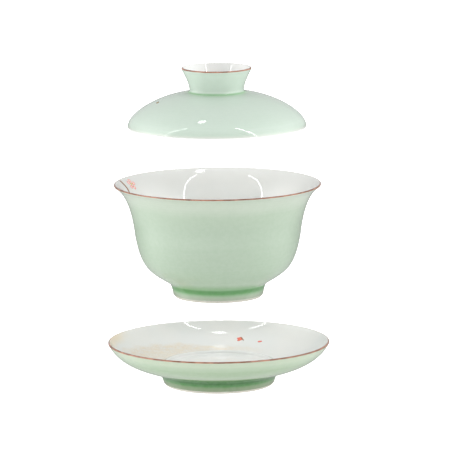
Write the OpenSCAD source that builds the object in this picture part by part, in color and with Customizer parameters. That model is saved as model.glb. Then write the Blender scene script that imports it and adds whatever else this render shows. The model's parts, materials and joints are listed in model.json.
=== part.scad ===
// Gaiwan: a lidded tea bowl on a saucer, in porcelain with a celadon coat outside,
// white glaze inside and an iron-brown line round each lip.
// Frame: +Z up, origin on the axis, in the plane that the saucer stands on.
// The bowl is drawn lifted off the saucer and the lid lifted off the bowl.

/* [Saucer] */
// Diameter of the saucer over its lip
saucer_d = 110.6; // [106:0.2:116]
// Height of the saucer
saucer_h = 21.7; // [20:0.1:24]
// Diameter of the saucer's foot ring where it stands
saucer_foot_d = 54.6; // [52:0.2:56]
// Diameter over the bead that keeps the bowl in the middle
bead_d = 53.4; // [52:0.2:55]

/* [Bowl] */
// Diameter of the bowl over its lip
bowl_d = 103; // [101:0.5:106]
// Height of the bowl
bowl_h = 56.7; // [54:0.1:60]
// Diameter of the bowl at its waist, where the flare begins
bowl_waist_d = 82.2; // [80:0.2:84]
// Diameter of the bowl's foot ring where it stands
bowl_foot_d = 44.6; // [42:0.2:45]

/* [Lid] */
// Diameter of the lid over its rim
lid_d = 88.6; // [87:0.2:89]
// Height of the lid over its knob
lid_h = 30.2; // [28:0.1:32]
// Diameter over the lip of the knob
knob_d = 34.8; // [33:0.2:38]
// Diameter of the knob where it meets the dome
knob_root_d = 27; // [25:0.5:29]

/* [Porcelain and glaze] */
// Thickness of the celadon coat
glaze = 0.4; // [0.3:0.05:0.5]
// Thickness of every foot ring where it stands
foot_ring_t = 2.6; // [2.2:0.1:3]
// Height of the bare porcelain left below the coat on a foot ring
bare_foot = 1.2; // [0.8:0.1:2]

/* [Taken apart] */
// How far the bowl is lifted off the saucer
bowl_lift = 34.4; // [0:0.1:60]
// How far the lid is lifted off the bowl
lid_lift = 35.8; // [0:0.1:60]

/* [Hidden] */
$fn = 128;

// Steps along one Bezier curve of an outline
curve_steps = 20;
// Largest angle of one step round a lip
lip_step = 12;
// Steps round the lid's rim
rim_steps = 12;
// Part of a curve, next to a lip, along which the coat thins out
thinning = 0.3;
// Thickness of the coat at its thin ends
thin_coat = 0.15;
// How far a pool of glaze reaches from the corner that it fills
pool = 1.3;
// Directions, up from straight outwards, between which the brown line covers a lip's round edge
lip_line_start = -10;
lip_line_end = 105;
// Thickness of the brown line
lip_line_t = 0.25;
// Small chamfer on the standing face of a foot ring
foot_chamfer = 0.4;

porcelain = "#f1f2ee";
biscuit = "#dedbd2";
celadon = "#bcd8c0";
iron_brown = "#8a5a48";

// A lip is its outer radius, the height of its top, its thickness, and the angle from the
// horizontal of the wall that runs up to it. It ends in a half circle.

// Saucer: wall, base and well
saucer_lip = [saucer_d / 2, saucer_h, 1.2, 61];
saucer_lip_reach = 8;
saucer_root = [saucer_foot_d / 2 + 1.8, 6.4];
saucer_base_under = 6;
well_floor = 10.2;
well_slope = 0.15;
bead_top = well_floor + 1.5;
bead_w = 3;
dish_low = [bead_d / 2 + 1.6, well_floor + 0.5];

// Bowl: wall and base
bowl_lip = [bowl_d / 2, bowl_h, 1.1, 32];
bowl_wall_t = 2.8;
bowl_lip_reach = 10;
bowl_root = [bowl_foot_d / 2 + 0.9, 6.1];
bowl_waist = [bowl_waist_d / 2, 0.536 * bowl_h];
bowl_base_under = 5.7;
bowl_floor = 8.4;

// Lid: rim, dome and knob
lid_rim_t = 1.8;
lid_wall_t = 2.3;
lid_bare_rim = 1;
knob_root = [knob_root_d / 2, 0.589 * lid_h];
knob_lip = [knob_d / 2, lid_h, 1.1, 68];
knob_wall_t = 1.8;
knob_lip_reach = 2.8;

// Clearance under the bowl's foot when it stands in the well
seat_gap = 0.1;
// Clearance round the lid's rim when it lies in the bowl's flare
lid_play = 0.35;

// ---- Outlines: lists of [radius, height], run with the porcelain on their left ----

function mix(a, b, t) = a + (b - a) * t;
function last(v) = v[len(v) - 1];
function unit(v) = v / norm(v);
function left_of(v) = [-v[1], v[0]];
function heading(angle) = [cos(angle), sin(angle)];
function reversed(v) = [for (i = [len(v) - 1:-1:0]) v[i]];
// v followed by w, whose first point repeats the last of v
function joined(v, w) = concat(v, [for (i = [1:1:len(w) - 1]) w[i]]);
function scaled(v, s) = [v[0] * s[0], v[1] * s[1]];

function bezier(a, b, c, d, t) =
    pow(1 - t, 3) * a + 3 * pow(1 - t, 2) * t * b + 3 * (1 - t) * t * t * c + pow(t, 3) * d;
function curve(a, b, c, d, steps = curve_steps) =
    [for (i = [0:steps]) bezier(a, b, c, d, i / steps)];

// Side shift at point i of line v that keeps both of its segments at distance 1
function side(v, i) =
    let (
        before = unit(left_of(v[max(i, 1)] - v[max(i, 1) - 1])),
        after = unit(left_of(v[min(i, len(v) - 2) + 1] - v[min(i, len(v) - 2)]))
    )
    (before + after) / (1 + before * after);
// Line v moved into the porcelain by depth[i] at point i
function inset(v, depth) = [for (i = [0:len(v) - 1]) v[i] + depth[i] * side(v, i)];
// Depths along a line of n points that change evenly from a to b
function even_depths(n, a, b) = [for (i = [0:n - 1]) mix(a, b, i / (n - 1))];
// Depths of the coat along a line of n points: full, then thinning out towards its end
function coat_depths(n) =
    [for (i = [0:n - 1]) max(thin_coat, glaze * min(1, (1 - i / (n - 1)) / thinning))];

// Lines v and w, with the corner between them filled by a pool of glaze
function pooled(v, w) =
    let (
        corner = last(v),
        v_left = [for (p = v) if (norm(p - corner) > pool) p],
        w_left = [for (p = w) if (norm(p - corner) > pool) p],
        start = last(v_left),
        end = w_left[0]
    )
    concat(
        v_left,
        [for (i = [1:5]) bezier(start, mix(start, corner, 2 / 3), mix(end, corner, 2 / 3), end, i / 6)],
        w_left
    );

// Part of a lip's half circle between two directions, depth below its surface
function lip_arc(lip, from, to, depth) =
    let (
        radius = lip[2] / 2,
        centre = [lip[0] - radius, lip[1] - radius],
        steps = ceil(abs(to - from) / lip_step)
    )
    [for (i = [0:steps]) centre + (radius - depth) * heading(mix(from, to, i / steps))];
// The points where the half circle meets the outside and the inside of the wall
function lip_outer(lip) = lip_arc(lip, lip[3] - 90, lip_line_start, 0)[0];
function lip_inner(lip) = last(lip_arc(lip, lip_line_end, lip[3] + 90, 0));
// The coat's side of a lip, from the wall up to the brown line, depth below the surface
function coat_lip(lip, depth) = lip_arc(lip, lip[3] - 90, lip_line_start, depth);
// The body's side of a lip: under the brown line, then white as far as the inside of the wall
function body_lip(lip) =
    concat(
        lip_arc(lip, lip_line_start, lip_line_end, lip_line_t),
        lip_arc(lip, lip_line_end, lip[3] + 90, 0)
    );
// The brown line's own outline
function brown_lip(lip) =
    concat(
        lip_arc(lip, lip_line_start, lip_line_end, 0),
        lip_arc(lip, lip_line_end, lip_line_start, lip_line_t)
    );

module turned(outline) rotate_extrude() polygon(outline);

// A foot: the coat's outer line runs straight from the standing face up to the root
function foot_r_at(foot_d, root, h) = mix(foot_d / 2, root[0], h / root[1]);
// Radius of the porcelain behind the coat at height h
function ring_r_at(foot_d, root, h) =
    foot_r_at(foot_d, root, h) - glaze * norm(root - [foot_d / 2, 0]) / root[1];
function foot_line(foot_d, root) = [[foot_r_at(foot_d, root, bare_foot), bare_foot], root];

// A foot ring, from the standing face up to the base at height under
module foot_ring(foot_d, root, under) {
    inner = foot_d / 2 - foot_ring_t;
    turned([
        [inner + foot_chamfer, 0],
        [ring_r_at(foot_d, root, 0) - foot_chamfer, 0],
        [ring_r_at(foot_d, root, foot_chamfer), foot_chamfer],
        [ring_r_at(foot_d, root, under), under],
        [inner, under],
        [inner, foot_chamfer],
    ]);
}

// ---- Saucer ----

saucer_foot_line = foot_line(saucer_foot_d, saucer_root);
// Direction and reach of the dish's curves where they meet the lip
saucer_rise = saucer_lip_reach * heading(saucer_lip[3]);
saucer_outer = curve(
    saucer_root,
    saucer_root + scaled(lip_outer(saucer_lip) - saucer_root, [0.6, 0.22]),
    lip_outer(saucer_lip) - saucer_rise,
    lip_outer(saucer_lip)
);
saucer_coat_line = joined(pooled(saucer_foot_line, saucer_outer), coat_lip(saucer_lip, 0));
saucer_body_line = joined(
    inset(
        joined(saucer_foot_line, saucer_outer),
        joined([glaze, glaze], coat_depths(len(saucer_outer)))
    ),
    coat_lip(saucer_lip, thin_coat)
);
// The dish's inside, from the lip down to the bead, across its top and over the well's floor
saucer_inside = concat(
    body_lip(saucer_lip),
    curve(
        lip_inner(saucer_lip) - 0.05 * saucer_rise,
        lip_inner(saucer_lip) - 1.1 * saucer_rise,
        dish_low + [14, 0.6],
        dish_low
    ),
    curve(
        dish_low + [-0.3, 0.1],
        dish_low + [-0.9, 0.2],
        [bead_d / 2 + 0.6, bead_top],
        [bead_d / 2 - bead_w / 3, bead_top],
        8
    ),
    curve(
        [bead_d / 2 - bead_w / 2, bead_top - 0.05],
        [bead_d / 2 - bead_w * 0.75, bead_top - 0.1],
        [bead_d / 2 - bead_w * 0.75, well_floor],
        [bead_d / 2 - bead_w * 1.1, well_floor],
        8
    ),
    [[0, well_floor - well_slope]]
);

module saucer_dish()
    color(porcelain)
        turned(concat(
            [
                [0, saucer_base_under],
                [ring_r_at(saucer_foot_d, saucer_root, saucer_base_under), saucer_base_under],
            ],
            [for (i = [1:len(saucer_body_line) - 1]) saucer_body_line[i]],
            saucer_inside
        ));

module saucer_foot_ring()
    color(biscuit) foot_ring(saucer_foot_d, saucer_root, saucer_base_under);

module saucer_celadon_coat()
    color(celadon) turned(concat(saucer_coat_line, reversed(saucer_body_line)));

module saucer_lip_line()
    color(iron_brown) turned(brown_lip(saucer_lip));

// ---- Bowl, in its own frame: it stands at height 0 ----

bowl_foot_line = foot_line(bowl_foot_d, bowl_root);
// Direction and reach of the belly's curve where it meets the waist
waist_reach = scaled(bowl_waist - bowl_root, [0.175, 0.71]);
bowl_belly = curve(
    bowl_root,
    bowl_root + scaled(bowl_waist - bowl_root, [0.58, 0.28]),
    bowl_waist - waist_reach,
    bowl_waist
);
bowl_flare = curve(
    bowl_waist,
    bowl_waist + 0.14 * waist_reach,
    lip_outer(bowl_lip) - bowl_lip_reach * heading(bowl_lip[3]),
    lip_outer(bowl_lip)
);
bowl_outer = joined(bowl_belly, bowl_flare);
bowl_coat_line = joined(pooled(bowl_foot_line, bowl_outer), coat_lip(bowl_lip, 0));
bowl_body_line = joined(
    inset(
        joined(bowl_foot_line, bowl_outer),
        joined([glaze, glaze], coat_depths(len(bowl_outer)))
    ),
    coat_lip(bowl_lip, thin_coat)
);
bowl_inner_line = inset(bowl_outer, even_depths(len(bowl_outer), bowl_wall_t, bowl_lip[2]));
// Point of the inner line from which the floor curves in to the axis
floor_start = 6;
floor_rim = bowl_inner_line[floor_start];
floor_slope = unit(floor_rim - bowl_inner_line[floor_start + 1]);
bowl_inside = concat(
    body_lip(bowl_lip),
    [for (i = [len(bowl_inner_line) - 2:-1:floor_start + 1]) bowl_inner_line[i]],
    curve(floor_rim, floor_rim + 5 * floor_slope, [12, bowl_floor], [0, bowl_floor], 10)
);

module bowl_wall()
    color(porcelain)
        turned(concat(
            [
                [0, bowl_base_under],
                [ring_r_at(bowl_foot_d, bowl_root, bowl_base_under), bowl_base_under],
            ],
            [for (i = [1:len(bowl_body_line) - 1]) bowl_body_line[i]],
            bowl_inside
        ));

module bowl_foot_ring()
    color(biscuit) foot_ring(bowl_foot_d, bowl_root, bowl_base_under);

module bowl_celadon_coat()
    color(celadon) turned(concat(bowl_coat_line, reversed(bowl_body_line)));

module bowl_lip_line()
    color(iron_brown) turned(brown_lip(bowl_lip));

// ---- Lid, in its own frame: its rim is at height 0 ----

lid_side = [lid_d / 2, lid_bare_rim];
lid_outer = curve(
    lid_side,
    lid_side + [0, 0.37 * (knob_root[1] - lid_side[1])],
    knob_root + scaled(lid_side - knob_root, [0.49, 0.06]),
    knob_root
);
knob_outer = curve(
    knob_root,
    knob_root + [-0.2, 0.4 * (lip_outer(knob_lip)[1] - knob_root[1])],
    lip_outer(knob_lip) - knob_lip_reach * heading(knob_lip[3]),
    lip_outer(knob_lip)
);
// The coat starts thin above the bare rim, thickens over the first points of the dome, and thins
// out again towards the knob's lip
lid_coat_line = joined(pooled(lid_outer, knob_outer), coat_lip(knob_lip, 0));
lid_body_line = joined(
    inset(
        joined(lid_outer, knob_outer),
        joined(
            [for (i = [0:len(lid_outer) - 1]) mix(thin_coat, glaze, min(1, i / 4))],
            coat_depths(len(knob_outer))
        )
    ),
    coat_lip(knob_lip, thin_coat)
);
dome_line = [for (i = [0:len(lid_outer) - 1]) lid_body_line[i]];
knob_line = [for (i = [len(lid_outer) - 1:len(lid_body_line) - 1]) lid_body_line[i]];
lid_top = last(dome_line)[1];
dome_inner_line = inset(lid_outer, even_depths(len(lid_outer), lid_rim_t, lid_wall_t));
knob_inner_line = inset(knob_outer, even_depths(len(knob_outer), knob_wall_t, knob_lip[2]));
// Top of the hollow under the lid
hollow_rim = last(dome_inner_line);
hollow_top = hollow_rim[1] + 0.4;

module lid_dome()
    color(porcelain)
        turned(concat(
            dome_line,
            [[0, lid_top]],
            curve([0, hollow_top], [5, hollow_top], hollow_rim - [5, -0.35], hollow_rim, 6),
            [for (i = [len(dome_inner_line) - 2:-1:0]) dome_inner_line[i]],
            [for (i = [1:rim_steps - 1])
                [lid_side[0] - lid_rim_t / 2 - lid_rim_t / 2 * cos(180 * i / rim_steps),
                    lid_bare_rim * (1 - sin(180 * i / rim_steps))]]
        ));

module lid_knob_ring()
    color(porcelain)
        turned(concat(
            knob_line,
            body_lip(knob_lip),
            [for (i = [len(knob_inner_line) - 2:-1:1]) knob_inner_line[i]],
            [[knob_inner_line[1][0], lid_top]]
        ));

module lid_celadon_coat()
    color(celadon) turned(concat(lid_coat_line, reversed(lid_body_line)));

module lid_knob_lip_line()
    color(iron_brown) turned(brown_lip(knob_lip));

// ---- The set, taken apart ----

bowl_z = well_floor + seat_gap + bowl_lift;
// Height in the bowl at which its inside is as wide as the lid with its play
lid_seat = lookup(lid_d / 2 + lid_play, bowl_inner_line);
lid_z = bowl_z + lid_seat - lid_bare_rim + lid_lift;

module at_bowl() translate([0, 0, bowl_z]) children();
module at_lid() translate([0, 0, lid_z]) children();

saucer_dish();
saucer_foot_ring();
saucer_celadon_coat();
saucer_lip_line();
at_bowl() bowl_wall();
at_bowl() bowl_foot_ring();
at_bowl() bowl_celadon_coat();
at_bowl() bowl_lip_line();
at_lid() lid_dome();
at_lid() lid_knob_ring();
at_lid() lid_celadon_coat();
at_lid() lid_knob_lip_line();
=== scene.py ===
import json
import math
import random

import bmesh
import bpy
import numpy as np
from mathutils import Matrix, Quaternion, Vector


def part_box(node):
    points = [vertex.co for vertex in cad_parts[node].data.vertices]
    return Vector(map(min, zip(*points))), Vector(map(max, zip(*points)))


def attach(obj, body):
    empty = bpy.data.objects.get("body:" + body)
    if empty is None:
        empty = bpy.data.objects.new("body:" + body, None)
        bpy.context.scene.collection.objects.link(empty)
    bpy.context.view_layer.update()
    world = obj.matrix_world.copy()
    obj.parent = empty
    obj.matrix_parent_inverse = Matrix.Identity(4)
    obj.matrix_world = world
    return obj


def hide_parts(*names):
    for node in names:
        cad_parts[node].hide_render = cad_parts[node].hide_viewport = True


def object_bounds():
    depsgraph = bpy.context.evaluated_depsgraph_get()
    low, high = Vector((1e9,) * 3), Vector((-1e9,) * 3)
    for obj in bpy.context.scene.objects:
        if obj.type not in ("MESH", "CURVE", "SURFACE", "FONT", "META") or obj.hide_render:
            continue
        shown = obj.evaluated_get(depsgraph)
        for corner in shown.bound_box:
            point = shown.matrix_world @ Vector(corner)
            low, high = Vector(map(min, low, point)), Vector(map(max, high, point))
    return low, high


# A gaiwan, taken apart in one stack: saucer, bowl and lid, each turned in porcelain with a
# celadon coat outside, a white glaze inside and an iron-brown line round the lip.
# Every turned piece is made from the outline of its own CAD node, smoothed and turned in fine
# steps. The painting is laid on those pieces as thin enamel.

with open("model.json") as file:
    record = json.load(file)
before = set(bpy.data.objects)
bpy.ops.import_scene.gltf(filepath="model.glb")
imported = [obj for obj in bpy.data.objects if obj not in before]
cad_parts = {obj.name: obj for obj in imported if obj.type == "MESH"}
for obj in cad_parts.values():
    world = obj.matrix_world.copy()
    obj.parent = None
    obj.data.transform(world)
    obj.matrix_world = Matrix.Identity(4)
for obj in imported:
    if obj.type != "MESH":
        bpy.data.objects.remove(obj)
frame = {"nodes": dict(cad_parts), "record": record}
cad_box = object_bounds()

MM = 0.001
MICRON = 1e-6
ON_PLANE = 1e-7      # how near to the seam's plane a point counts as on it
TURNS = 160          # steps round the axis
CORNER_DEG = 24      # a sharper bend than this stays a corner
SHORT_EDGE = 0.3 * MM


# ---- Outlines, read from the CAD nodes ----

def seam(node):
    """The points of a turned CAD node on the half-plane y = 0, x > 0, in whole microns, each with
    the points that an edge leads to."""
    mesh = frame["nodes"][node].data
    keys = [
        (round(v.co.x / MICRON), round(v.co.z / MICRON))
        if abs(v.co.y) < ON_PLANE and v.co.x > -ON_PLANE else None
        for v in mesh.vertices
    ]
    near = {}
    for edge in mesh.edges:
        a, b = (keys[i] for i in edge.vertices)
        if a and b and a != b:
            near.setdefault(a, set()).add(b)
            near.setdefault(b, set()).add(a)
    return near


def on_axis(point):
    return point[0] < MICRON


def outline(node):
    """A CAD node's section as a list of (radius, height) in metres, walked once round.
    A flat face has no seam, so the walk steps across it, to a loose end at the same height."""
    near = seam(node)
    loose = [p for p in near if len(near[p]) == 1]
    start = min(loose or near)
    path, here = [start], start
    while True:
        ahead = [p for p in near[here] if p not in path]
        if not ahead:
            ahead = [p for p in loose if p not in path and p[1] == here[1]]
        if not ahead:
            break
        here = min(ahead, key=lambda p: math.dist(p, here))
        path.append(here)
    points = [np.array(p) * MICRON for p in path]
    if on_axis(points[0]):
        points.append(np.array([0.0, points[-1][1]]))
    return points


def turn_angle(a, b, c):
    """Angle in degrees by which the line a-b-c bends at b."""
    before, after = b - a, c - b
    cross = before[0] * after[1] - before[1] * after[0]
    return abs(math.degrees(math.atan2(cross, before @ after)))


def smooth_stretch(points):
    """A curve through the points, with one more point in each edge that isn't short."""
    if len(points) < 3:
        return points
    lengths = [math.dist(a, b) for a, b in zip(points, points[1:])]
    slopes = [(b - a) / n for a, b, n in zip(points, points[1:], lengths)]
    inner = [
        (slopes[i] * lengths[i + 1] + slopes[i + 1] * lengths[i]) / (lengths[i] + lengths[i + 1])
        for i in range(len(slopes) - 1)
    ]
    tangents = [2 * slopes[0] - inner[0]] + inner + [2 * slopes[-1] - inner[-1]]
    result = [points[0]]
    for i, length in enumerate(lengths):
        if length > SHORT_EDGE:
            # The middle of the cubic curve that has these tangents
            middle = (points[i] + points[i + 1]) / 2
            result.append(middle + (tangents[i] - tangents[i + 1]) * length / 8)
        result.append(points[i + 1])
    return result


def smooth_outline(points, closed):
    """The outline with its round stretches smoothed and its corners kept."""
    n = len(points)
    if closed:
        bends = [turn_angle(points[i - 1], points[i], points[(i + 1) % n]) for i in range(n)]
        first = int(np.argmax(bends))
        points = points[first:] + points[:first] + [points[first]]
    ends = [0]
    for i in range(1, len(points) - 1):
        if turn_angle(points[i - 1], points[i], points[i + 1]) > CORNER_DEG:
            ends.append(i)
    ends.append(len(points) - 1)
    result = [points[0]]
    for a, b in zip(ends, ends[1:]):
        result += smooth_stretch(points[a:b + 1])[1:]
    return result[:-1] if closed else result


# ---- Meshes ----

def mesh_object(name, vertices, faces):
    mesh = bpy.data.meshes.new(name)
    mesh.from_pydata([tuple(v) for v in vertices], [], faces)
    mesh.update()
    thing = bpy.data.objects.new(name, mesh)
    bpy.context.scene.collection.objects.link(thing)
    return thing


def turned(name, points):
    """A closed solid turned about the axis. An outline that starts on the axis also ends there."""
    to_axis = on_axis(points[0])
    rings = points[1:-1] if to_axis else points
    angles = np.arange(TURNS) * 2 * math.pi / TURNS
    vertices = [(r * math.cos(a), r * math.sin(a), z) for r, z in rings for a in angles]
    faces = []
    for i in range(len(rings) - 1 if to_axis else len(rings)):
        low, high = i * TURNS, (i + 1) % len(rings) * TURNS
        for j in range(TURNS):
            k = (j + 1) % TURNS
            faces.append((low + j, low + k, high + k, high + j))
    if to_axis:
        first, last = len(vertices), len(vertices) + 1
        vertices += [(0, 0, points[0][1]), (0, 0, points[-1][1])]
        top = (len(rings) - 1) * TURNS
        faces += [(first, (j + 1) % TURNS, j) for j in range(TURNS)]
        faces += [(last, top + j, top + (j + 1) % TURNS) for j in range(TURNS)]
    thing = mesh_object(name, vertices, faces)
    face_outwards(thing)
    return thing


def face_outwards(thing):
    """Turns the faces of a closed mesh outwards and smooths it, but for its corners."""
    mesh = thing.data
    volume = 0
    for polygon in mesh.polygons:
        volume += polygon.center.dot(polygon.normal) * polygon.area
    if volume < 0:
        mesh.flip_normals()
    mesh.shade_smooth()
    mesh.set_sharp_from_angle(angle=math.radians(CORNER_DEG))


def store(thing, name, values):
    """Gives each vertex a value that the materials can read."""
    attribute = thing.data.attributes.new(name, "FLOAT", "POINT")
    attribute.data.foreach_set("value", np.asarray(values, np.float32))


def radius_height(thing):
    """Each vertex's distance from the axis and its height, in metres."""
    co = np.zeros(len(thing.data.vertices) * 3, np.float32)
    thing.data.vertices.foreach_get("co", co)
    co = co.reshape(-1, 3)
    return np.hypot(co[:, 0], co[:, 1]), co[:, 2]


def distance_to_line(r, z, line):
    """Distance from each (r, z) to a line of points, in metres."""
    best = np.full(len(r), np.inf)
    for a, b in zip(line, line[1:]):
        along = b - a
        if not along.any():
            continue
        t = ((r - a[0]) * along[0] + (z - a[1]) * along[1]) / (along @ along)
        t = np.clip(t, 0, 1)
        best = np.minimum(best, np.hypot(r - a[0] - t * along[0], z - a[1] - t * along[1]))
    return best


# ---- Materials ----

class Shader:
    """A material and short ways to add its nodes."""

    def __init__(self, name):
        self.material = bpy.data.materials.new(name)
        self.material.use_nodes = True
        self.nodes = self.material.node_tree.nodes
        self.links = self.material.node_tree.links
        self.bsdf = self.nodes["Principled BSDF"]
        self.place = self.nodes.new("ShaderNodeTexCoord").outputs["Object"]
        split = self.nodes.new("ShaderNodeSeparateXYZ")
        self.links.new(self.place, split.inputs[0])
        self.x, self.y, self.z = split.outputs

    def set(self, **values):
        for name, value in values.items():
            self.bsdf.inputs[name.replace("_", " ")].default_value = value

    def link(self, source, socket):
        self.links.new(source, self.bsdf.inputs[socket])

    def put(self, socket, value):
        if isinstance(value, bpy.types.NodeSocket):
            self.links.new(value, socket)
        else:
            socket.default_value = value

    def attribute(self, name):
        node = self.nodes.new("ShaderNodeAttribute")
        node.attribute_name = name
        return node.outputs["Fac"]

    def noise(self, scale, detail=2.0, roughness=0.5, vector=None):
        node = self.nodes.new("ShaderNodeTexNoise")
        self.links.new(vector or self.place, node.inputs["Vector"])
        node.inputs["Scale"].default_value = scale
        node.inputs["Detail"].default_value = detail
        node.inputs["Roughness"].default_value = roughness
        return node.outputs["Fac"]

    def wobble(self, scale, detail, amount):
        """Noise about zero, this much from its lowest to its highest."""
        return self.times(self.math("SUBTRACT", self.noise(scale, detail), 0.5), amount)

    def math(self, operation, a, b=0.0):
        node = self.nodes.new("ShaderNodeMath")
        node.operation = operation
        self.put(node.inputs[0], a)
        self.put(node.inputs[1], b)
        return node.outputs["Value"]

    def times(self, a, b):
        return self.math("MULTIPLY", a, b)

    def vector(self, x, y, z):
        node = self.nodes.new("ShaderNodeCombineXYZ")
        for socket, value in zip(node.inputs, (x, y, z)):
            self.put(socket, value)
        return node.outputs[0]

    def remap(self, value, low, high, to_low=0.0, to_high=1.0):
        """A smooth step between two values, which stays level past both."""
        node = self.nodes.new("ShaderNodeMapRange")
        node.interpolation_type = "SMOOTHSTEP"
        for name, x in (("Value", value), ("From Min", low), ("From Max", high),
                        ("To Min", to_low), ("To Max", to_high)):
            self.put(node.inputs[name], x)
        return node.outputs["Result"]

    def ramp(self, value, stops):
        node = self.nodes.new("ShaderNodeValToRGB")
        ramp = node.color_ramp
        while len(ramp.elements) < len(stops):
            ramp.elements.new(0.5)
        for element, (place, colour) in zip(ramp.elements, stops):
            element.position = place
            element.color = (*colour, 1)
        self.put(node.inputs["Fac"], value)
        return node.outputs["Color"]

    def mix(self, factor, a, b):
        node = self.nodes.new("ShaderNodeMix")
        node.data_type = "RGBA"
        self.put(node.inputs["Factor"], factor)
        for socket, colour in ((node.inputs[6], a), (node.inputs[7], b)):
            if isinstance(colour, tuple):
                colour = (*colour, 1)
            self.put(socket, colour)
        return node.outputs[2]

    def bump(self, height, strength, distance):
        """Adds relief on top of any that is there."""
        node = self.nodes.new("ShaderNodeBump")
        node.inputs["Strength"].default_value = strength
        node.inputs["Distance"].default_value = distance
        self.put(node.inputs["Height"], height)
        if self.bsdf.inputs["Normal"].is_linked:
            self.links.new(self.bsdf.inputs["Normal"].links[0].from_socket, node.inputs["Normal"])
        self.links.new(node.outputs["Normal"], self.bsdf.inputs["Normal"])

    def radius(self):
        """Distance from the axis, in metres."""
        squares = self.times(self.x, self.x), self.times(self.y, self.y)
        return self.math("SQRT", self.math("ADD", *squares))

    def facing(self, degrees):
        """1 at this direction about the axis, 0 at right angles to it and -1 opposite."""
        a = math.radians(degrees)
        shares = self.times(self.x, math.cos(a)), self.times(self.y, math.sin(a))
        return self.math("DIVIDE", self.math("ADD", *shares), self.radius())


def rgb(red, green, blue):
    """Linear colour from an 8-bit sRGB one."""
    return tuple(
        c / 12.92 if c <= 0.04045 else ((c + 0.055) / 1.055) ** 2.4
        for c in (red / 255, green / 255, blue / 255)
    )


GLASS_IOR = 1.5


def glaze_surface(shader):
    """The gloss that every glazed piece shares: a slow ripple, turning marks and fine orange
    peel."""
    shader.set(Roughness=0.05, IOR=GLASS_IOR)
    shader.bump(shader.noise(60, 1), 0.08, 0.05 * MM)
    marks = shader.vector(shader.radius(), 0.0, shader.z)
    shader.bump(shader.noise(650, 1, vector=marks), 0.03, 0.01 * MM)
    shader.bump(shader.noise(900, 2), 0.03, 0.004 * MM)


def white_glaze(name="white_glaze", grey=237):
    """Clear glaze over white porcelain, a little uneven in tint. Returns its base colour too."""
    shader = Shader(name)
    tint = shader.remap(shader.noise(45, 3), 0.35, 0.65)
    base = shader.mix(tint, rgb(grey, grey, grey - 3), rgb(grey - 4, grey - 2, grey - 4))
    shader.link(base, "Base Color")
    glaze_surface(shader)
    return shader, base


def bowl_glaze():
    """The bowl's white glaze, which runs thin and a little greyer towards the lip."""
    thinning = 18 * MM
    # Lighter than the other whites, partly as painted light against the shade of the lid above
    shader, white = white_glaze("bowl_glaze", 243)
    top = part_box("bowl_wall")[1][2]
    thin = shader.remap(shader.z, top - thinning, top)
    shader.link(shader.mix(thin, white, rgb(221, 222, 219)), "Base Color")
    return shader.material


def sanded_glaze():
    """The saucer's white glaze, with a shore of gold speckle round its well on the left, some of it
    in the well, and a gold wash along the rim. Radii are in mm, directions in degrees."""
    well_edge, in_well = (26.0, 28.5), (20.0, 9.0)
    shore_direction, shore_near, shore_far = 178, 38.5, 48
    sand_direction, rim_direction, rim_from, rim_to = 158, 186, 50.5, 54.5
    shore_fade, side_fade, rim_fade = (-3.5, 1.5), (-0.55, 0.55), (0.75, 0.98)
    well_amount, wash_amount, speck_amount, rim_amount = 0.4, 0.36, 0.36, 0.42

    shader, white = white_glaze("sanded_glaze", 225)
    radius = shader.times(shader.radius(), 1 / MM)
    wander = shader.wobble(120, 3, 9.0)
    reach = shader.math("ADD", radius, wander)
    shore = shader.remap(shader.facing(shore_direction), 0.0, 0.98, shore_near, shore_far)
    outside = shader.remap(shader.math("SUBTRACT", reach, shore), *shore_fade, 1.0, 0.0)
    on_left = shader.remap(shader.facing(sand_direction), *side_fade)
    density = shader.times(shader.times(outside, shader.remap(radius, *well_edge)), on_left)
    patches = shader.remap(shader.noise(110, 2), 0.52, 0.66)
    drowned = shader.times(shader.remap(radius, *in_well), patches)
    density = shader.math("MAXIMUM", density, shader.times(drowned, well_amount))
    rim_reach = shader.math("ADD", radius, shader.times(wander, 0.3))
    rim = shader.times(
        shader.remap(rim_reach, rim_from, rim_to),
        shader.remap(shader.facing(rim_direction), *rim_fade))
    drift = shader.remap(shader.noise(260, 4, 0.7), 0.3, 0.66)
    grain = shader.remap(shader.noise(2300, 3, 0.7), 0.44, 0.62)
    grains = shader.times(density, grain)

    wash = shader.times(shader.times(density, drift), wash_amount)
    base = shader.mix(wash, white, rgb(228, 204, 156))
    base = shader.mix(shader.times(grains, speck_amount), base, rgb(188, 150, 90))
    base = shader.mix(shader.times(rim, rim_amount), base, rgb(244, 206, 136))
    shader.link(base, "Base Color")
    shader.bump(grains, 0.3, 0.015 * MM)
    return shader.material


# Where in the ramp the colours of a celadon lie, and the thickness in mm at the ramp's end
CELADON_PLACES = (0.06, 0.12, 0.20, 0.32, 0.46, 0.75)
THICKEST_MM = 2.0


def celadon(name, colours, thin_rim_and_foot_shade_colour, edge_fade, edge_amount):
    """Green glass over white porcelain, in the colours from thin to pooled glaze. Towards its lower
    edge it fades to the edge colour between two heights in mm:
    on the lid that is the glaze wiped thin at the rim, on the bowl and the saucer it is mostly
    painted shade at the foot, where the floor would shade it."""
    shader = Shader(name)
    share = shader.math("DIVIDE", shader.attribute("glaze_and_shade_mm"), THICKEST_MM)
    depth = shader.math("ADD", share, shader.wobble(38, 2, 0.035))
    base = shader.ramp(depth, list(zip(CELADON_PLACES, (rgb(*colour) for colour in colours))))
    height = shader.math("ADD", shader.attribute("above_foot_mm"), shader.wobble(150, 2, 0.6))
    # Painted shade darkens the bowl's and the saucer's foot edge here; on the lid this is the rim's
    # thin glaze
    base = shader.mix(shader.remap(height, *edge_fade, edge_amount, 0.0), base, rgb(*thin_rim_and_foot_shade_colour))
    mottle = shader.remap(shader.noise(420, 3, 0.6), 0.3, 0.7, 0.0, 0.03)
    base = shader.mix(mottle, base, rgb(236, 242, 234))
    shader.link(base, "Base Color")
    glaze_surface(shader)
    return shader.material


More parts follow.
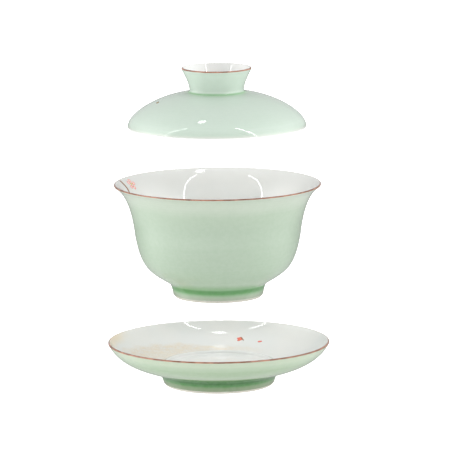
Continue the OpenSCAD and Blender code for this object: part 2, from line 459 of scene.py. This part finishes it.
def iron_brown():
    """A brushed line: it thins to a redder brown in places, and it darkens where the slip is
    thick."""
    shader = Shader("iron_brown")
    wash = shader.remap(shader.noise(190, 3, 0.6), 0.35, 0.68)
    base = shader.mix(wash, rgb(124, 82, 64), rgb(172, 126, 104))
    fleck = shader.remap(shader.noise(1400, 2), 0.6, 0.75, 0.0, 0.6)
    shader.link(shader.mix(fleck, base, rgb(92, 58, 46)), "Base Color")
    glaze_surface(shader)
    return shader.material


def bare_porcelain():
    """A foot ring: bare where it stands, with a faint blush under the edge of its glazed inside."""
    shader = Shader("bare_porcelain")
    blush_from_mm, glaze_from_mm, glaze_full_mm, blush_amount = 0.5, 1.1, 1.25, 0.08
    rough, glossy = 0.6, 0.07
    grain = shader.noise(2600, 4, 0.7)
    bare = shader.mix(shader.remap(grain, 0.4, 0.75), rgb(190, 188, 179), rgb(168, 165, 155))
    height = shader.math("ADD", shader.attribute("above_foot_mm"), shader.wobble(140, 3, 0.9))
    glazed = shader.remap(height, glaze_from_mm, glaze_full_mm)
    blush = shader.times(
        shader.remap(height, blush_from_mm, glaze_from_mm), shader.math("SUBTRACT", 1.0, glazed))
    base = shader.mix(shader.times(blush, blush_amount), bare, rgb(206, 158, 120))
    base = shader.mix(glazed, base, rgb(228, 235, 226))
    shader.link(base, "Base Color")
    shader.link(shader.remap(glazed, 0.0, 1.0, rough, glossy), "Roughness")
    shader.bump(grain, 0.4, 0.02 * MM)
    return shader.material


def enamel(name, middle, edge):
    """Overglaze enamel, washed thin in the middle and drawn darker round the edge."""
    shader = Shader(name)
    tone = shader.math("ADD", shader.attribute("tone"), shader.wobble(1300, 2, 0.5))
    shader.link(shader.mix(shader.remap(tone, 0.35, 0.95), rgb(*middle), rgb(*edge)), "Base Color")
    shader.set(Roughness=0.14, IOR=GLASS_IOR)
    shader.bump(shader.noise(2500, 2), 0.2, 0.01 * MM)
    return shader.material


# ---- The camera, the light and the floor ----

SENSOR = 36
CAMERA_DISTANCE = 2.282
CAMERA_ELEVATION = math.radians(9.61)
CAMERA_ROLL = math.radians(0.45)
VIEW_WIDTH = 0.2239      # what the picture takes in at the stack
CAMERA_SIDE = 0.0036     # how far the aim lies beside the middle, and above it
AIM_RISE = 0.0005
FAR_CLIP = 50
MIDDLE = Vector((0, 0, (cad_box[0][2] + cad_box[1][2]) / 2))


def add_camera():
    """A long lens, far off and a little above the set, level with the middle of the stack."""
    aim = MIDDLE + Vector((CAMERA_SIDE, 0, AIM_RISE))
    offset = Vector((0, -math.cos(CAMERA_ELEVATION), math.sin(CAMERA_ELEVATION))) * CAMERA_DISTANCE
    data = bpy.data.cameras.new("camera")
    data.sensor_width = SENSOR
    data.lens = SENSOR * CAMERA_DISTANCE / VIEW_WIDTH
    data.clip_end = FAR_CLIP
    camera = bpy.data.objects.new("camera", data)
    camera.location = aim + offset
    turn = (-offset).to_track_quat("-Z", "Y") @ Quaternion((0, 0, 1), -CAMERA_ROLL)
    camera.rotation_euler = turn.to_euler()
    bpy.context.scene.collection.objects.link(camera)
    bpy.context.scene.camera = camera


def add_lamp(name, direction, distance, width, height, radiance, shape="RECTANGLE"):
    """An area lamp that faces the stack."""
    offset = direction.normalized() * distance
    data = bpy.data.lights.new(name, "AREA")
    data.shape = shape
    data.size, data.size_y = width, height
    area = width * height * (math.pi / 4 if shape == "ELLIPSE" else 1)
    data.energy = radiance * math.pi * area
    lamp = bpy.data.objects.new(name, data)
    lamp.location = MIDDLE + offset
    lamp.rotation_euler = (-offset).to_track_quat("-Z", "Y").to_euler()
    bpy.context.scene.collection.objects.link(lamp)
    return lamp


def compass(azimuth, elevation):
    """A direction. Azimuth 0 is the front, and it grows to the right."""
    a, e = math.radians(azimuth), math.radians(elevation)
    return Vector((math.sin(a) * math.cos(e), -math.cos(a) * math.cos(e), math.sin(e)))


# The tent's gap lies between these azimuths and closes between these elevations, in degrees
GAP_RIGHT, GAP_LEFT, GAP_SOFT = 48, -65, 3
GAP_CLOSES, GAP_CLOSED = 55, 78
# How bright the tent is, and the light from below, in front and behind
TENT_LEFT, TENT_RIGHT, TENT_REAR, TENT_TOP, FRONT_GAP = 3.3, 2.6, 0.6, 0.85, 0.15
UNDER, REAR_UNDER = 0.95, 0.25


def add_world():
    """A white tent, with a dim gap in front, where the camera is."""
    world = bpy.data.worlds.new("tent")
    world.use_nodes = True
    nodes, links = world.node_tree.nodes, world.node_tree.links

    def node(kind, *inputs, **settings):
        made = nodes.new(kind)
        for key, value in settings.items():
            setattr(made, key, value)
        for socket, value in zip(made.inputs, inputs):
            if isinstance(value, bpy.types.NodeSocket):
                links.new(value, socket)
            else:
                socket.default_value = value
        return made.outputs[0]

    def step(value, low, high, to_low, to_high):
        return node("ShaderNodeMapRange", value, low, high, to_low, to_high,
                    interpolation_type="SMOOTHSTEP")

    split = nodes.new("ShaderNodeSeparateXYZ")
    links.new(nodes.new("ShaderNodeTexCoord").outputs["Generated"], split.inputs[0])
    x, y, z = split.outputs
    azimuth = node("ShaderNodeMath", x, node("ShaderNodeMath", y, -1.0, operation="MULTIPLY"),
                   operation="ARCTAN2")
    gap, right = (
        step(azimuth, math.radians(edge - GAP_SOFT), math.radians(edge + GAP_SOFT), *levels)
        for edge, levels in ((GAP_LEFT, (0.0, 1.0)), (GAP_RIGHT, (1.0, 0.0))))
    closes, closed = (math.sin(math.radians(angle)) for angle in (GAP_CLOSES, GAP_CLOSED))
    for side in (right, step(z, closes, closed, 1.0, 0.0)):
        gap = node("ShaderNodeMath", gap, side, operation="MULTIPLY")

    def blend(factor, a, b):
        mix = nodes.new("ShaderNodeMix")
        for name, value in (("Factor", factor), ("A", a), ("B", b)):
            if isinstance(value, bpy.types.NodeSocket):
                links.new(value, mix.inputs[name])
            else:
                mix.inputs[name].default_value = value
        return mix.outputs[0]

    # Bright at both ends and low down, dimmer behind and overhead, then what comes from below
    ends = step(x, -0.7, 0.7, TENT_LEFT, TENT_RIGHT)
    rear = step(y, 0.0, 0.8, 0.0, 1.0)
    side = blend(rear, ends, TENT_REAR)
    above = blend(gap, blend(step(z, 0.0, 1.0, 0.0, 1.0), side, TENT_TOP), FRONT_GAP)
    below = blend(step(z, -0.75, -0.05, 0.0, 1.0), UNDER, blend(rear, ends, REAR_UNDER))
    strength = blend(step(z, -0.04, 0.04, 0.0, 1.0), below, above)
    # Past the floor's edge the camera sees plain white.
    seen = nodes.new("ShaderNodeLightPath").outputs["Is Camera Ray"]
    links.new(blend(seen, strength, 1.0), nodes["Background"].inputs["Strength"])
    nodes["Background"].inputs["Color"].default_value = (1, 1, 1, 1)
    bpy.context.scene.world = world


# Metres and degrees
STRIP_WIDTH, STRIP_DISTANCE, OVERHEAD_DISTANCE = 0.03, 1.3, 1.5
RIGHT_HEIGHT, RIGHT_ELEVATION = 1.6, 39
LEFT_HEIGHT, LEFT_ELEVATION = 1.7, 31
# Each body has its own lamps, which the others neither catch nor shade: an upright strip on the
# right and one on the left, by azimuth and strength, and an oval one overhead, by direction,
# strength and size.
OWN_LAMPS = {
    "lid": ((50, 32), (-69, 14), (Vector((-0.166, 0.107, 0.98)), 15, (0.17, 0.13))),
    "bowl": ((50, 19), (-67, 22), (Vector((0.163, 0.057, 0.98)), 13, (0.42, 0.14))),
    "saucer": ((45, 27), (-62, 26), (Vector((-0.005, 0.068, 1)), 22, (0.19, 0.21))),
}


def add_lamps(body, right, left, overhead):
    """One body's own lamps."""
    strips = [
        add_lamp(f"strip_{side}_{body}", compass(azimuth, elevation), STRIP_DISTANCE,
                 STRIP_WIDTH, height, strength)
        for side, (azimuth, strength), elevation, height in (
            ("right", right, RIGHT_ELEVATION, RIGHT_HEIGHT),
            ("left", left, LEFT_ELEVATION, LEFT_HEIGHT))
    ]
    direction, strength, size = overhead
    return strips + [
        add_lamp("overhead_" + body, direction, OVERHEAD_DISTANCE, *size, strength, "ELLIPSE")]


def add_floor():
    """A wide white table top under the saucer's foot. The light from below is the world's."""
    size, drop = 6.0, 0.2 * MM
    signs = ((-1, -1), (1, -1), (1, 1), (-1, 1))
    floor = mesh_object("floor", [(x * size, y * size, -drop) for x, y in signs], [(0, 1, 2, 3)])
    shader = Shader("floor")
    shader.set(Base_Color=(0.9, 0.9, 0.9, 1), Roughness=0.7)
    shader.set(Emission_Color=(1, 1, 1, 1), Emission_Strength=0.9)
    floor.data.materials.append(shader.material)
    floor.visible_diffuse = floor.visible_glossy = floor.visible_shadow = False


bpy.context.scene.view_settings.view_transform = "Standard"
add_camera()
add_world()
lamps = {body: add_lamps(body, *settings) for body, settings in OWN_LAMPS.items()}
add_floor()

# ---- The turned pieces ----

# One celadon on all three pieces, its colours set lighter or darker per piece, partly as painted
# light and shade for how each piece is lit
CELADONS = {
    "lid": celadon("celadon_lid", [
        (175, 189, 177), (182, 197, 184), (190, 205, 193), (166, 196, 166), (134, 178, 134),
        (116, 162, 116)], (200, 204, 196), (0.2, 1.4), 0.8),
    "bowl": celadon("celadon_bowl", [
        (176, 187, 172), (161, 177, 158), (155, 172, 153), (131, 164, 128), (90, 138, 87),
        (68, 119, 67)], (142, 151, 134), (0.6, 3.4), 0.85),
    "saucer": celadon("celadon_saucer", [
        (178, 188, 168), (161, 178, 155), (151, 171, 144), (106, 138, 95), (70, 117, 66),
        (47, 95, 44)], (114, 127, 102), (0.6, 3.0), 0.85),
}
FINISHES = {
    "white_porcelain": white_glaze()[0].material,
    "iron_brown_line": iron_brown(),
    "bare_porcelain": bare_porcelain(),
}
SLOTS = {part["node"]: part["material_slot"] for part in frame["record"]["subparts"]}
BODY_OF = {
    node: body
    for body, members in frame["record"]["behaviour"]["bodies"].items()
    for node in members
}
LIT = {}
for body, set_of_lamps in lamps.items():
    LIT[body] = bpy.data.collections.new("lit_" + body)
    for lamp in set_of_lamps:
        lamp.light_linking.receiver_collection = LIT[body]
        lamp.light_linking.blocker_collection = LIT[body]


def finish(piece, body, material):
    """Gives a piece its material and body, and the light of its body's own lamps."""
    piece.data.materials.append(material)
    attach(piece, body)
    LIT[body].objects.link(piece)


OUTLINES = {node: outline(node) for node in frame["nodes"]}
SMOOTH = {
    node: smooth_outline(points, closed=not on_axis(points[0]))
    for node, points in OUTLINES.items()
}
# What lies under each coat
COATED = {
    "saucer_celadon_coat": ("saucer_dish", "saucer_foot_ring"),
    "bowl_celadon_coat": ("bowl_wall", "bowl_foot_ring"),
    "lid_celadon_coat": ("lid_dome", "lid_knob_ring"),
}
# Pooled glaze, made to look deeper still as painted shade where a belly meets its foot, and as a
# painted dark reflection of the knob round its root:
# how many mm deeper it looks, how far that reaches above and below in mm, and how far outside the
# deepest place its middle lies in mm
POOLS_AND_SHADE = {
    "saucer_celadon_coat": (0.6, 8.0, 3.2, 0.0),
    "bowl_celadon_coat": (0.42, 4.0, 3.2, 0.0),
    "lid_celadon_coat": (0.2, 0.9, 1.2, 1.3),
}
# How thick the glaze is left on the knob, once it has run down to its root, and how far above the
# pool that begins and is complete, in mm
KNOB_GLAZE, KNOB_FROM, KNOB_TO = 0.2, 0.6, 1.6
# The whites are one glaze, made lighter or darker per piece, partly as painted light and shade for
# how brightly each piece is lit in the stack
WHITES = {
    "saucer_dish": sanded_glaze(),
    "bowl_wall": bowl_glaze(),
    "lid_knob_ring": white_glaze("cup_glaze", 242)[0].material,
}
pieces = {}
for node, points in SMOOTH.items():
    piece = pieces[node] = turned(node + "_turned", points)
    body, slot = BODY_OF[node], SLOTS[node]
    material = WHITES.get(node, FINISHES.get(slot, CELADONS[body]))
    finish(piece, body, material)
    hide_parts(node)

for coat, clay in COATED.items():
    r, z = radius_height(pieces[coat])
    lines = [OUTLINES[node] + [OUTLINES[node][0]] for node in clay]
    depth = np.min([distance_to_line(r, z, line) for line in lines], axis=0)
    pool = int(np.argmax(depth))
    deeper, reach_up, reach_down, outside = POOLS_AND_SHADE[coat]
    spread = np.where(z > z[pool], reach_up, reach_down) * MM
    pool_and_shade_falloff = np.exp(-np.hypot(r - r[pool] - outside * MM, z - z[pool]) / spread)
    if coat == "lid_celadon_coat":
        on_knob = np.clip(((z - z[pool]) / MM - KNOB_FROM) / (KNOB_TO - KNOB_FROM), 0, 1)
        depth -= on_knob * np.maximum(depth - KNOB_GLAZE * MM, 0)
    # The stored depth is the glaze's own, plus the pool, which is partly painted shade
    store(pieces[coat], "glaze_and_shade_mm", depth / MM + deeper * pool_and_shade_falloff)
    store(pieces[coat], "above_foot_mm", (z - z.min()) / MM)

for ring in ("saucer_foot_ring", "bowl_foot_ring"):
    z = radius_height(pieces[ring])[1]
    store(pieces[ring], "above_foot_mm", (z - z.min()) / MM)

# ---- The painting ----

class Skin:
    """A turned surface to paint on, reached by the way in from its rim and the angle round it."""

    REACH = 0.2 * MM      # how far on both sides the surface's slope is taken

    def __init__(self, line):
        self.line = np.array(line)
        steps = np.hypot(*np.diff(self.line, axis=0).T)
        self.way = np.concatenate([[0], np.cumsum(steps)])

    def point(self, way, degrees, lift):
        (r, z), a, b = (
            np.array([np.interp(w, self.way, self.line[:, i]) for i in (0, 1)])
            for w in (way, way - self.REACH, way + self.REACH))
        along = (b - a) / np.hypot(*(b - a))
        normal = np.array([along[1], -along[0]])
        r, z = np.array([r, z]) + normal * lift
        angle = math.radians(degrees)
        return r * math.cos(angle), r * math.sin(angle), z

    def from_flat(self, way, degrees, u, v, lift):
        """The point u round and v on from a centre, and lifted, all three in mm."""
        here = way + v * MM
        r = np.interp(here, self.way, self.line[:, 0])
        return self.point(here, degrees + math.degrees(u * MM / r), lift * MM)


def inside_of(node):
    """The skin inside a dish, from the top of its lip to the axis."""
    points = SMOOTH[node]
    if points[0][1] > points[-1][1]:
        points = points[::-1]
    top = max(range(len(points)), key=lambda i: points[i][1])
    return Skin(points[top:])


def outside_of_lid():
    """The skin of the lid's coat, from the rim up to the knob's lip."""
    near_rim, on_dome = 0.3 * MM, 30 * MM
    points = SMOOTH["lid_celadon_coat"]
    bottom = min(p[1] for p in points)
    low = max((p for p in points if p[1] < bottom + near_rim), key=lambda p: p[0])
    start = next(i for i, p in enumerate(points) if p is low)
    walk = points[start:] + points[:start]
    top = max(range(len(walk)), key=lambda i: walk[i][1])
    both_ways = walk[:top + 1], [walk[0]] + walk[:top - 1:-1]
    return Skin(max(both_ways, key=lambda line: max(p[1] for p in line if p[0] > on_dome)))


class Paint:
    """A mesh of thin enamel that grows by strokes and petals laid on one skin. Lifts are in mm."""

    SUNK = -0.03      # mm by which an edge lies in the glaze
    # Scale and height of a petal's rings, and place and height across a stroke. Heights are shares
    # of the lift, but for the sunk edges.
    RINGS = ((1, SUNK), (0.96, 0.5), (0.8, 0.85), (0.45, 1))
    SECTION = ((-1, SUNK), (-0.7, 0.7), (0, 1), (0.7, 0.7), (1, SUNK))
    STEPS = 8         # from one point of a stroke to the next

    def __init__(self, skin):
        self.skin, self.vertices, self.faces, self.tones = skin, [], [], []

    def add_ring(self, flat, way, degrees, lift, tone):
        first = len(self.vertices)
        for u, v in flat:
            self.vertices.append(self.skin.from_flat(way, degrees, u, v, lift))
            self.tones.append(tone)
        return list(range(first, len(self.vertices)))

    def blob(self, way, degrees, shape, lift):
        """A low dome over a closed outline in mm, about a place this way in, in mm."""
        way *= MM
        middle = tuple(sum(p[i] for p in shape) / len(shape) for i in (0, 1))
        rings = []
        for scale, height in self.RINGS:
            flat = [tuple(m + (c - m) * scale for c, m in zip(p, middle)) for p in shape]
            up = height if height < 0 else height * lift
            rings.append(self.add_ring(flat, way, degrees, up, scale))
        top = self.add_ring([middle], way, degrees, lift, 0.0)[0]
        for low, high in zip(rings, rings[1:]):
            for i in range(len(low)):
                j = (i + 1) % len(low)
                self.faces.append((low[i], low[j], high[j], high[i]))
        for i in range(len(shape)):
            self.faces.append((rings[-1][i], rings[-1][(i + 1) % len(shape)], top))

    def stroke(self, path, widths, lift=0.1):
        """A brush stroke through (way, degrees) points, with ways and widths in mm."""
        rows = []
        path = [(way * MM, degrees) for way, degrees in path]
        steps = self.STEPS * (len(path) - 1)
        places = np.linspace(0, len(path) - 1, steps + 1)
        curve = [catmull(path, t) for t in places]
        for i, (way, degrees) in enumerate(curve):
            a, b = curve[max(i - 1, 0)], curve[min(i + 1, steps)]
            r = np.interp(way, self.skin.way, self.skin.line[:, 0])
            heading = np.array([math.radians(b[1] - a[1]) * r, b[0] - a[0]])
            heading /= np.hypot(*heading)
            across = np.array([-heading[1], heading[0]])
            half = np.interp(places[i], range(len(widths)), widths) / 2
            row = []
            for k, height in self.SECTION:
                up = height if height < 0 else height * lift
                row += self.add_ring([tuple(across * half * k)], way, degrees, up, abs(k))
            rows.append(row)
        for low, high in zip(rows, rows[1:]):
            for i in range(len(self.SECTION) - 1):
                self.faces.append((low[i], low[i + 1], high[i + 1], high[i]))
        self.faces.append(tuple(rows[0][::-1]))
        self.faces.append(tuple(rows[-1]))

    def make(self, name, body, material):
        piece = mesh_object(name, self.vertices, self.faces)
        piece.data.shade_smooth()
        mesh = bmesh.new()
        mesh.from_mesh(piece.data)
        bmesh.ops.recalc_face_normals(mesh, faces=mesh.faces)
        mesh.to_mesh(piece.data)
        mesh.free()
        store(piece, "tone", self.tones)
        finish(piece, body, material)


def catmull(path, t):
    """A point on the smooth curve through a list of points, t counted in points."""
    i = min(int(t), len(path) - 2)
    f = t - i
    a, b, c, d = (np.array(path[min(max(k, 0), len(path) - 1)], float) for k in range(i - 1, i + 3))
    return tuple(0.5 * (2 * b + (c - a) * f + (2 * a - 5 * b + 4 * c - d) * f * f
                        + (3 * b - a - 3 * c + d) * f ** 3))


def petal_shape(length, width, turn, offset=(0.0, 0.0), points=18):
    """A rounded petal in mm: it starts narrow at the offset and points in the direction turn."""
    a = math.radians(turn)
    shape = []
    for i in range(points):
        t = 2 * math.pi * i / points
        y = length * (0.5 - 0.5 * math.cos(t))
        x = width / 2 * math.sin(t) * (0.55 + 0.45 * y / length) * random.uniform(0.94, 1.06)
        shape.append((offset[0] + x * math.cos(a) - y * math.sin(a),
                      offset[1] + x * math.sin(a) + y * math.cos(a)))
    return shape


def round_shape(radius, offset=(0.0, 0.0), points=10):
    """A circle in mm."""
    return [(offset[0] + radius * math.cos(2 * math.pi * i / points),
             offset[1] + radius * math.sin(2 * math.pi * i / points)) for i in range(points)]


PINK = enamel("enamel_pink", (252, 214, 206), (240, 150, 140))
RED = enamel("enamel_red", (238, 124, 100), (214, 66, 50))
BARK = enamel("enamel_bark", (158, 104, 58), (96, 60, 44))
YELLOW = enamel("enamel_yellow", (232, 206, 110), (204, 168, 72))
OLIVE = enamel("enamel_olive", (158, 128, 66), (120, 98, 52))


def blossom(name, body, skin, way, degrees, size, turn=0.0):
    """Five petals round a yellow middle, with nine red stamens. The way and size are in mm."""
    petals, stamens, middle = Paint(skin), Paint(skin), Paint(skin)
    for i in range(5):
        tilt = turn + 72 * i + random.uniform(-5, 5)
        a = math.radians(tilt)
        root = (-0.12 * size * math.sin(a), 0.12 * size * math.cos(a))
        petals.blob(way, degrees, petal_shape(0.40 * size, 0.42 * size, tilt, root), 0.05)
    for i in range(9):
        a = math.radians(turn + 40 * i + random.uniform(-8, 8))
        far = random.uniform(0.20, 0.27) * size
        tip = (-far * math.sin(a), far * math.cos(a))
        stamens.blob(way, degrees, round_shape(0.035 * size, tip), 0.10)
    middle.blob(way, degrees, round_shape(0.10 * size), 0.10)
    petals.make(name + "_petals", body, PINK)
    stamens.make(name + "_stamens", body, RED)
    middle.make(name + "_middle", body, YELLOW)


random.seed(7)
bowl_skin, dish_skin, lid_skin = inside_of("bowl_wall"), inside_of("saucer_dish"), outside_of_lid()

# In the bowl a twig comes over the lip on the left and runs down, with a blossom beside it
twig = Paint(bowl_skin)
twig.stroke([(0.6, 165.6), (3, 166.4), (6.5, 166.6), (12, 169), (19, 176), (25, 188)],
            [1.7, 1.9, 1.8, 1.4, 0.9, 0.35])
twig.stroke([(11, 168.5), (15, 163), (18, 158)], [0.6, 0.45, 0.25])
twig.stroke([(19, 176), (17, 184), (14, 190)], [0.5, 0.4, 0.2])
twig.make("bowl_twig", "bowl", BARK)
blossom("bowl_blossom", "bowl", bowl_skin, 4.9, 156.1, 6.6, 20)
blossom("bowl_low_blossom", "bowl", bowl_skin, 17, 193, 6.2, 50)
buds = Paint(bowl_skin)
for way, degrees, turn in ((18.6, 156.6, 30), (25.8, 190, -60), (9.5, 172.5, -80)):
    buds.blob(way, degrees, petal_shape(1.7, 1.4, turn), 0.09)
buds.make("bowl_buds", "bowl", RED)

# In the saucer lie a small fallen bud with its stalk, and one loose petal
bud = Paint(dish_skin)
for turn, length in ((75, 2.1), (20, 2.0), (130, 2.0), (190, 1.2)):
    bud.blob(12.0, 77.4, petal_shape(length, 2.2, turn), 0.07)
bud.make("saucer_bud", "saucer", RED)
stalk = Paint(dish_skin)
stalk.stroke([(10.6, 76.2), (11.8, 75.0), (13.2, 73.6)], [1.1, 0.9, 0.5], 0.09)
stalk.make("saucer_bud_stalk", "saucer", BARK)
loose = Paint(dish_skin)
loose.blob(13.0, 62.1, petal_shape(2.4, 2.0, -75, (-1.1, -0.2)), 0.07)
loose.make("saucer_petal", "saucer", RED)

# On the lid the spray lies at the back, and only a stray dab of it shows in front
dab = Paint(lid_skin)
dab.blob(19.6, 193, petal_shape(2.9, 2.3, 80, (1.4, 0)), 0.08)
dab.make("lid_dab", "lid", OLIVE)
spray = Paint(lid_skin)
spray.stroke([(14, 150), (17, 138), (18, 124), (16, 110), (17, 96)], [0.35, 0.7, 0.95, 0.8, 0.3])
spray.stroke([(18, 128), (22, 122), (24, 114)], [0.6, 0.45, 0.2])
spray.stroke([(16.4, 112), (12, 106), (9, 104)], [0.55, 0.4, 0.2])
spray.make("lid_twig", "lid", BARK)
blossom("lid_blossom", "lid", lid_skin, 13, 128, 7.0, 0)
blossom("lid_small_blossom", "lid", lid_skin, 21, 103, 5.6, 35)
tips = Paint(lid_skin)
for way, degrees, turn in ((8.2, 103.5, 170), (24.6, 112.6, 30), (13.4, 152, 70)):
    tips.blob(way, degrees, petal_shape(1.7, 1.4, turn), 0.09)
tips.make("lid_buds", "lid", RED)
